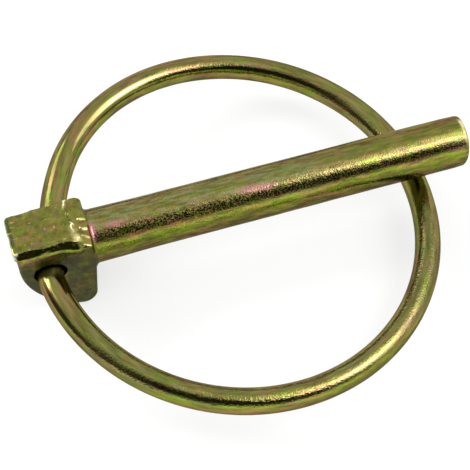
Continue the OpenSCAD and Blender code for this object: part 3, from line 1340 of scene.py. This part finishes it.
class FilmGroup:
    """The passivated film on the zinc, with painted shade and painted highlights, as a shader node
    group that both finishes use.
    """

    NAME = "passivated film"
    FIELDS = ("Film", "Wear_and_highlight", "Grain", "Dull_and_shade", "Rose", "Lime", "Haze", "Stain", "Smear", "Speck")
    PLACES = ("Place", "Flow")
    AMOUNTS = ("Streaks", "Clouds", "Mottle")

    def __init__(self) -> None:
        """Makes the group with its sockets and the clouds that two of its effects share."""
        self.tree = bpy.data.node_groups.new(self.NAME, "ShaderNodeTree")
        takes = dict.fromkeys(self.FIELDS + self.AMOUNTS, "Float")
        takes |= dict.fromkeys(self.PLACES, "Vector") | {"Blush": "Color"}
        gives = {"Colour": "Color", "Roughness": "Float", "Height": "Float"}
        for way, sockets in (("INPUT", takes), ("OUTPUT", gives)):
            for name, kind in sockets.items():
                kind = "NodeSocket" + kind
                self.tree.interface.new_socket(name=name, in_out=way, socket_type=kind)
        self.nodes = NodeTree(self.tree)
        self.given = self.nodes.add("NodeGroupInput").outputs
        self.cloud = self.nodes.noise(self.given["Place"], scale=0.5, detail=5.0)

    @classmethod
    def get(cls) -> bpy.types.NodeTree:
        """Returns the group, and builds it the first time."""
        return bpy.data.node_groups.get(cls.NAME) or cls().build()

    def build(self) -> bpy.types.NodeTree:
        """Fills the group.

        Returns:
            The node group. It takes the piece's fields and the amount of each effect, and puts
            out a colour, a roughness and a height.
        """
        colour = self.worn(self.mottled(self.stained(self.film())))
        result = {"Colour": colour, "Roughness": self.roughness(), "Height": self.height()}
        self.nodes.add("NodeGroupOutput", result)
        return self.tree

    def film(self) -> Socket:
        """Colours the film by its order, which streaks, clouds and fine noise disturb; the ramp
        also holds painted shade and painted highlight.

        Returns:
            The colour.
        """
        nodes, given = self.nodes, self.given
        streak = nodes.noise(given["Flow"], scale=1.1, detail=4.0)
        fine = nodes.noise(given["Flow"], scale=3.0, detail=3.0, shift=41.0)
        order = given["Film"]
        calm = nodes.span(order, 0.0, 0.3, 0.4, 1.0)
        noises = ((streak, given["Streaks"]), (self.cloud, given["Clouds"]), (fine, 0.3))
        for spread, share in noises:
            moved = nodes.math("MULTIPLY", nodes.math("SUBTRACT", spread, 0.5), share)
            order = nodes.math("ADD", order, nodes.math("MULTIPLY", moved, calm))
        return nodes.ramp(order, tuple((place, linear(colour)) for place, colour in FILM_AND_SHADING_COLOURS))

    def patch(self, colour: Socket, stain: Stain) -> Socket:
        """Lays the patches of one stain over a colour.

        Args:
            colour: The colour underneath.
            stain: The stain.

        Returns:
            The stained colour.
        """
        spots = self.nodes.noise(self.given["Flow"], stain.scale, stain.detail, stain.shift)
        share = self.nodes.span(spots, *stain.span, 0.0, stain.share)
        share = self.nodes.math("MULTIPLY", share, self.given[stain.field])
        return self.nodes.mix(share, colour, linear(stain.colour))

    def stained(self, colour: Socket) -> Socket:
        """Lays the stains, the painted shade of the dull sides, the fresh patches and the blush
        over the film.

        Args:
            colour: The film's colour.

        Returns:
            The stained colour.
        """
        nodes, given = self.nodes, self.given
        for stain in FILM_STAINS:
            colour = self.patch(colour, stain)
        # Painted shade: the dull-and-shade field darkens the colour towards the dull olive.
        dull_and_shade = nodes.math("MULTIPLY", given["Dull_and_shade"], 0.8)
        colour = self.patch(nodes.mix(dull_and_shade, colour, linear(Tone.DULL_AND_SHADE.value)), FRESH_STAIN)
        rosy = nodes.noise(given["Place"], scale=1.6, detail=5.0, shift=17.0)
        rosy = nodes.math("MULTIPLY", given["Rose"], nodes.span(rosy, 0.3, 0.5))
        return nodes.mix(rosy, colour, given["Blush"])

    def mottled(self, colour: Socket) -> Socket:
        """Lays pale and dark flecks over the colour, fainter where the film is dull or painted in
        shade.

        Args:
            colour: The colour underneath.

        Returns:
            The mottled colour.
        """
        nodes, given = self.nodes, self.given
        flecks = nodes.noise(given["Flow"], scale=2.2, detail=6.0, shift=77.0)
        flecks = nodes.span(flecks, 0.38, 0.62, -0.5, 0.5)
        shiny = nodes.math("SUBTRACT", 1.0, nodes.math("MULTIPLY", given["Dull_and_shade"], 0.6))
        for amount in (given["Mottle"], shiny, given["Stain"]):
            flecks = nodes.math("MULTIPLY", flecks, amount)
        for tone, end, share in ((Tone.PALE_FLECK, 0.5, 0.3), (Tone.DARK_FLECK, -0.5, 0.35)):
            part = nodes.span(flecks, 0.0, end, 0.0, share)
            colour = nodes.mix(part, colour, linear(tone.value))
        return colour

    def worn(self, colour: Socket) -> Socket:
        """Pales the colour with wear and with painted highlights, down to bare zinc where the film
        is gone and to near white at a highlight's core.

        Args:
            colour: The colour of the film that isn't worn.

        Returns:
            The worn colour.
        """
        colour = self.nodes.mix(self.given["Wear_and_highlight"], colour, linear(Tone.WORN_AND_HIGHLIGHT.value))
        gone = self.nodes.span(self.given["Wear_and_highlight"], 0.8, 1.0)
        return self.nodes.mix(gone, colour, linear(Tone.BARE_ZINC_AND_HIGHLIGHT.value))

    def roughness(self) -> Socket:
        """Roughens the smear with clouds, with the dull-and-shade and wear-and-highlight fields,
        and with specks.

        Returns:
            The roughness.
        """
        nodes = self.nodes
        rough = nodes.span(self.cloud, 0.3, 0.7, -0.04, 0.04)
        rough = nodes.math("ADD", self.given["Smear"], rough)
        specks = nodes.noise(self.given["Place"], scale=5.4, detail=1.0, shift=63.0)
        specks = nodes.span(specks, 0.42, 0.6)
        for field, share in (("Dull_and_shade", 0.12), ("Wear_and_highlight", 0.16), ("Speck", specks)):
            rough = nodes.math("ADD", rough, nodes.math("MULTIPLY", self.given[field], share))
        return rough

    def height(self) -> Socket:
        """Adds coarse grain to fine grain.

        Returns:
            The height.
        """
        fine = self.nodes.noise(self.given["Place"], scale=5.2, detail=1.0, shift=5.0)
        coarse = self.nodes.noise(self.given["Place"], scale=1.9, detail=2.0, shift=9.0)
        both = self.nodes.math("ADD", fine, self.nodes.math("MULTIPLY", coarse, 0.5))
        return self.nodes.math("MULTIPLY", both, self.given["Grain"])


@dataclass(frozen=True)
class PlatedSteel:
    """Bright zinc on steel under a coloured passivated film.

    The grain's height is in millimetres, and the tints are display colours from 0 to 255.
    """

    name: str
    mottle: float
    streaks: float = 0.45
    clouds: float = 0.3
    grain: float = 0.034
    coat: float = 0.2
    coat_rough: float = 0.12
    coat_ior: float = 1.6
    edge_tint: Colour = (158, 148, 106)
    blush: Colour = (186, 124, 126)

    def build(self) -> bpy.types.Material:
        """Builds the material.

        Returns:
            The material, which reads the fields that the piece keeps at its vertices.
        """
        material, nodes = new_material(self.name)
        feeds = {name: nodes.field(name.lower(), "Fac") for name in FilmGroup.FIELDS}
        feeds |= {name: nodes.field(name.lower(), "Vector") for name in FilmGroup.PLACES}
        feeds |= {"Streaks": self.streaks, "Clouds": self.clouds, "Mottle": self.mottle}
        feeds |= {"Blush": linear(self.blush)}
        film = nodes.add("Group", feeds, node_tree=FilmGroup.get()).outputs
        uneven = {"Height": film["Height"], "Strength": 1.0, "Distance": self.grain * MM}
        bumps = nodes.add("Bump", uneven).outputs[0]
        surface = {
            "Base Color": film["Colour"],
            "Roughness": film["Roughness"],
            "Metallic": 1.0,
            "Specular Tint": linear(self.edge_tint),
            "Normal": bumps,
            "Coat Weight": self.coat,
            "Coat Roughness": self.coat_rough,
            "Coat IOR": self.coat_ior,
            "Coat Normal": bumps,
        }
        shader = nodes.add("BsdfPrincipled", surface)
        nodes.add("OutputMaterial", {"Surface": shader.outputs[0]})
        return material


# -------------------------------------------------------------------------------------- studio


@dataclass
class SoftBox:
    """A rectangular lamp that faces the pin.

    It hangs at an azimuth and an elevation in degrees, seen from the pin. Its width, height and
    distance are in millimetres, and its roll about the line of sight is in degrees.
    """

    name: str
    azimuth: float
    elevation: float
    width: float
    height: float
    radiance: float
    distance: float
    roll: float = 0.0

    def build(self, target: Vector) -> bpy.types.Object:
        """Hangs the lamp.

        Args:
            target: Point it faces, in millimetres.

        Returns:
            The lamp.
        """
        light = bpy.data.lights.new(self.name, "AREA")
        light.shape = "RECTANGLE"
        light.size, light.size_y = self.width * MM, self.height * MM
        light.energy = self.radiance * math.pi * light.size * light.size_y
        lamp = bpy.data.objects.new(self.name, light)
        toward = direction(self.azimuth, self.elevation)
        lamp.location = (target + toward * self.distance) * MM
        lamp.rotation_euler = (toward.to_track_quat("Z", "Y") @ rolled(self.roll)).to_euler()
        bpy.context.scene.collection.objects.link(lamp)
        return lamp


@dataclass
class Card:
    """A curved screen with soft edges, which the plating mirrors.

    Its sides are given by azimuths and elevations in degrees, seen from the pin: where each
    soft edge starts and ends. The right side leans to the left as it rises, and the low side
    sinks towards the left. The mesh goes on past those two by a spare width and height.
    """

    name: str
    left: Pair
    right: Pair
    low: Pair
    high: Pair
    radiance: float
    right_lean: float = 0.0
    low_sink: float = 0.0
    distance: float = 300.0
    lean_from: float = 30.0
    sink_from: float = -50.0
    right_spare: float = 14.0
    low_spare: float = 32.0
    step: float = 4.0
    rows: int = 28

    def cover(self, azimuth: Values, elevation: Values) -> Values:
        """How much the screen hides in each direction, from 0 to 1.

        Args:
            azimuth: Azimuths in degrees.
            elevation: Elevations in degrees.

        Returns:
            Values from 0 to 1.
        """
        lean = azimuth + self.right_lean * (elevation - self.lean_from)
        cover = smooth(*self.left, azimuth) * (1.0 - smooth(*self.right, lean))
        raised = elevation - self.low_sink * np.minimum(azimuth - self.sink_from, 0.0)
        return cover * smooth(*self.low, raised) * (1.0 - smooth(*self.high, elevation))

    def build(self, target: Vector) -> bpy.types.Object:
        """Hangs the card.

        Args:
            target: Point it faces, in millimetres.

        Returns:
            The card.
        """
        azimuths = np.arange(self.left[0], self.right[1] + self.right_spare, self.step)
        lowest = self.low[0] - self.low_spare * self.low_sink
        elevations = np.linspace(lowest, self.high[1], self.rows)
        azimuth, elevation = (grid.ravel() for grid in np.meshgrid(azimuths, elevations))
        corners = [target + direction(a, e) * self.distance for a, e in zip(azimuth, elevation)]
        number = np.arange(len(corners)).reshape(len(elevations), len(azimuths))
        quads = (number[:-1, :-1], number[:-1, 1:], number[1:, 1:], number[1:, :-1])
        faces = [tuple(row) for row in np.stack(quads, 2).reshape(-1, 4).tolist()]
        card = add_mesh(self.name, np.array(corners), faces)
        add_fields(card, {"cover": self.cover(azimuth, elevation)})
        material, nodes = new_material(self.name)
        clear = nodes.add("BsdfTransparent").outputs[0]
        nodes.end(nodes.field("cover", "Fac"), clear, nodes.glow(self.radiance))
        card.data.materials.append(material)
        card.visible_camera = False
        card.visible_diffuse = False
        card.visible_shadow = False
        return card


LAMPS = (
    SoftBox(
        "softbox_right", azimuth=74.0, elevation=50.0,
        width=225.0, height=240.0, radiance=2.25, distance=310.0,
    ),
    SoftBox(
        "softbox_right_core", azimuth=65.0, elevation=57.0,
        width=140.0, height=84.0, radiance=3.2, distance=310.0, roll=-30.0,
    ),
    SoftBox(
        "softbox_left", azimuth=-138.0, elevation=35.0,
        width=320.0, height=190.0, radiance=2.6, distance=400.0,
    ),
    SoftBox(
        "softbox_left_core", azimuth=-121.0, elevation=38.0,
        width=80.0, height=205.0, radiance=12.5, distance=390.0, roll=34.0,
    ),
)
CARDS = (
    Card(
        "dark_card", left=(-112.0, -52.0), right=(40.0, 52.0), low=(9.0, 30.0), high=(64.0, 90.0),
        radiance=0.03, right_lean=0.5, low_sink=0.5,
    ),
    Card(
        "dim_card", left=(-110.0, -102.0), right=(-60.0, -40.0), low=(14.0, 32.0),
        high=(30.0, 46.0), radiance=0.08, low_sink=0.5, distance=290.0,
    ),
    Card(
        "pale_card", left=(-90.0, -60.0), right=(30.0, 50.0), low=(-4.0, 3.0), high=(18.0, 28.0),
        radiance=1.6, distance=310.0,
    ),
)


@dataclass
class Studio:
    """The pale floor, the white surroundings, the lamps, the cards and the camera.

    All sizes and places are in millimetres and all angles in degrees.
    """

    target: Triple = (15.826, -4.608, 0.0)
    eye: Triple = (-5.877, -76.291, 128.152)
    roll: float = -0.21
    lens: float = 100.39
    sensor: float = 36.0
    nearest: float = 10.0
    furthest: float = 20000.0
    lit_point: Triple = (17.0, 0.0, 0.0)
    floor_z: float = -9.2
    floor_half: float = 2500.0
    floor_grey: float = 0.8
    floor_glow: float = 0.66

    def floor(self) -> None:
        """Lays the floor, which partly glows so that its shadows stay soft and pale."""
        s, z = self.floor_half, self.floor_z
        corners = np.array([[-s, -s, z], [s, -s, z], [s, s, z], [-s, s, z]])
        floor = add_mesh("floor", corners, [(0, 1, 2, 3)])
        material, nodes = new_material("floor")
        paint = nodes.add("BsdfDiffuse", {"Color": (*(self.floor_grey,) * 3, 1.0)}).outputs[0]
        nodes.end(self.floor_glow, paint, nodes.glow(1.0))
        floor.data.materials.append(material)

    def surroundings(self) -> None:
        """Sets the even white surroundings."""
        world = bpy.data.worlds.new("surroundings")
        world.use_nodes = True
        nodes = NodeTree(world.node_tree)
        light = nodes.add("Background", {"Color": WHITE, "Strength": 1.0})
        nodes.add("OutputWorld", {"Surface": light.outputs[0]})
        bpy.context.scene.world = world

    def camera(self) -> None:
        """Places the camera."""
        lens = bpy.data.cameras.new("camera")
        lens.lens = self.lens
        lens.sensor_width = self.sensor
        lens.clip_start, lens.clip_end = self.nearest * MM, self.furthest * MM
        camera = bpy.data.objects.new("camera", lens)
        eye, target = Vector(self.eye), Vector(self.target)
        camera.location = eye * MM
        turn = (target - eye).to_track_quat("-Z", "Y") @ rolled(self.roll)
        camera.rotation_euler = turn.to_euler()
        bpy.context.scene.collection.objects.link(camera)
        bpy.context.scene.camera = camera

    def build(self) -> None:
        """Builds the whole studio."""
        self.floor()
        self.surroundings()
        for item in LAMPS + CARDS:
            item.build(Vector(self.lit_point))
        self.camera()
        bpy.context.scene.view_settings.view_transform = "Standard"


def main() -> None:
    """Builds and dresses the pin and its ring, and sets the studio round them."""
    logging.basicConfig(level=logging.INFO, format="%(message)s")
    for design in (ForgedPin(), SpringRing()):
        piece = design.build()
        LOG.info("built %s", piece.name)
    Studio().build()
    bpy.context.view_layer.update()


if __name__ == "__main__":
    main()
